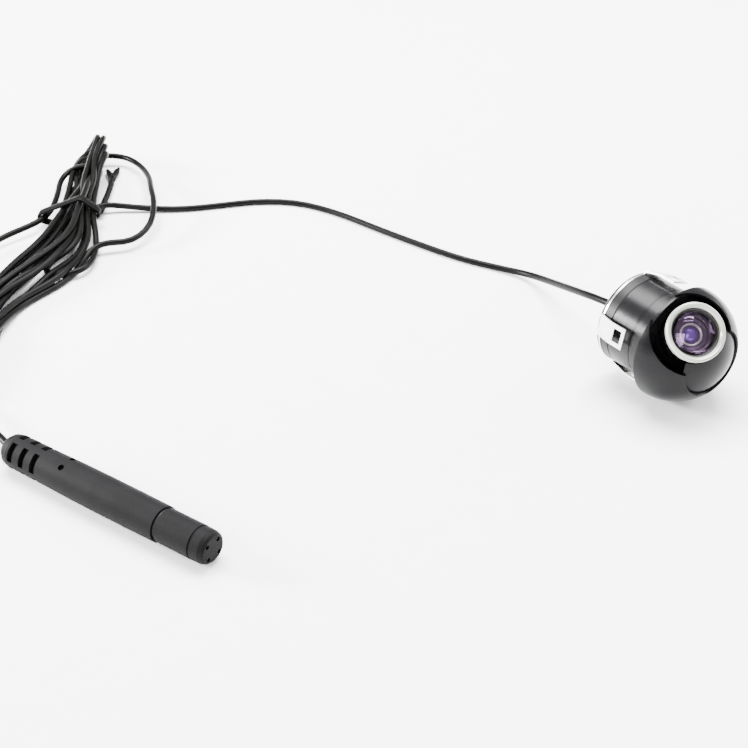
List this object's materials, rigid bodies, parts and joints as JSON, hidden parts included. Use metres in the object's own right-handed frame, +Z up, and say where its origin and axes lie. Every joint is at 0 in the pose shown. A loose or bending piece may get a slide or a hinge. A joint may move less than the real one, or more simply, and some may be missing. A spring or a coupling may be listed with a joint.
{
  "type": "backup camera",
  "caption": "Flush-mount eyeball reversing camera with a domed swivelling head, tilting lens, spring clip barrel, thin lead in a tied hank and round in-line connector.",
  "frame": {"origin": "on the floor under the middle of the camera unit without its lead", "axes": "+Z up; the barrel lies along Y with the head at -Y and the lead leaving at +Y"},
  "size_m": [0.1661, 0.2264, 0.0283],
  "materials": {
    "black_barrel": "satin black anodised metal",
    "black_rear": "brushed black metal",
    "black_dome": "satin gloss black metal",
    "black_ball": "satin black metal",
    "clip_steel": "bright stainless spring steel",
    "bezel_silver": "pale satin silver",
    "lens_black": "matt black lens baffle",
    "brass": "plain brass",
    "coated_glass": "purple coated glass",
    "inner_glass": "coated glass",
    "seal_rubber": "soft black",
    "board_green": "solder mask",
    "chip_black": "epoxy",
    "socket_white": "nylon",
    "gland_rubber": "moulded matt",
    "cord_jacket": "satin PVC",
    "tie_wrap": "coated wire tie",
    "connector_rubber": "matt charcoal moulding"
  },
  "bodies": {
    "barrel": {"barrel_sleeve": "black_barrel", "swivel_seal": "seal_rubber", "rear_housing": "black_rear", "housing_seal": "seal_rubber", "main_board": "board_green", "main_chip": "chip_black", "lead_socket": "socket_white", "rear_cap": "black_rear", "cord_gland": "gland_rubber", "clip_ring": "clip_steel", "cord_lead": "cord_jacket", "cord_loop": "cord_jacket", "cord_hank": "cord_jacket", "hank_tie": "tie_wrap", "cord_tail": "cord_jacket", "connector_relief": "connector_rubber", "connector_body": "connector_rubber", "connector_seal": "seal_rubber", "connector_nose": "connector_rubber", "contact_sleeves": "brass"},
    "head": {"head_dome": "black_dome", "swivel_carrier": "black_barrel", "swivel_retainer": "clip_steel", "tilt_pin_left": "clip_steel", "tilt_pin_right": "clip_steel", "tilt_washers": "clip_steel"},
    "eyeball": {"eyeball_body": "black_ball", "eyeball_back_cover": "black_ball", "lens_bezel": "bezel_silver", "lens_holder": "lens_black", "front_lens": "coated_glass", "retaining_ring": "lens_black", "inner_ring": "bezel_silver", "iris_stop": "brass", "lens_spacer": "lens_black", "middle_lens": "inner_glass", "rear_lens": "inner_glass", "ir_filter": "inner_glass", "window_seal": "seal_rubber", "sensor_board": "board_green", "image_sensor": "chip_black"},
    "tab_1": {"clip_tab_1": "clip_steel"},
    "tab_2": {"clip_tab_2": "clip_steel"},
    "tab_3": {"clip_tab_3": "clip_steel"},
    "tab_4": {"clip_tab_4": "clip_steel"}
  },
  "joints": [
    {"name": "head_swivel", "type": "hinge", "parent": "barrel", "child": "head", "pos_m": [0, -0.00275, 0.014], "axis": [0, 1, 0], "range_deg": [-170, 170]},
    {"name": "eye_tilt", "type": "hinge", "parent": "head", "child": "eyeball", "pos_m": [0, -0.00275, 0.014], "axis": [0.8712, 0, 0.4909], "range_deg": [0, 45]},
    {"name": "tab_1_flex", "type": "hinge", "parent": "barrel", "child": "tab_1", "pos_m": [-0.0116, 0.01085, 0.01617], "axis": [0.184, 0, 0.9829], "range_deg": [0, 7], "stiffness_Nm_per_rad": 0.02},
    {"name": "tab_2_flex", "type": "hinge", "parent": "barrel", "child": "tab_2", "pos_m": [0.00415, 0.01085, 0.02505], "axis": [0.9361, 0, -0.3518], "range_deg": [0, 7], "stiffness_Nm_per_rad": 0.02},
    {"name": "tab_3_flex", "type": "hinge", "parent": "barrel", "child": "tab_3", "pos_m": [0.01137, 0.01085, 0.01083], "axis": [-0.2689, 0, -0.9632], "range_deg": [0, 7], "stiffness_Nm_per_rad": 0.02},
    {"name": "tab_4_flex", "type": "hinge", "parent": "barrel", "child": "tab_4", "pos_m": [-0.00317, 0.01085, 0.00264], "axis": [-0.9632, 0, 0.2689], "range_deg": [0, 7], "stiffness_Nm_per_rad": 0.02}
  ]
}
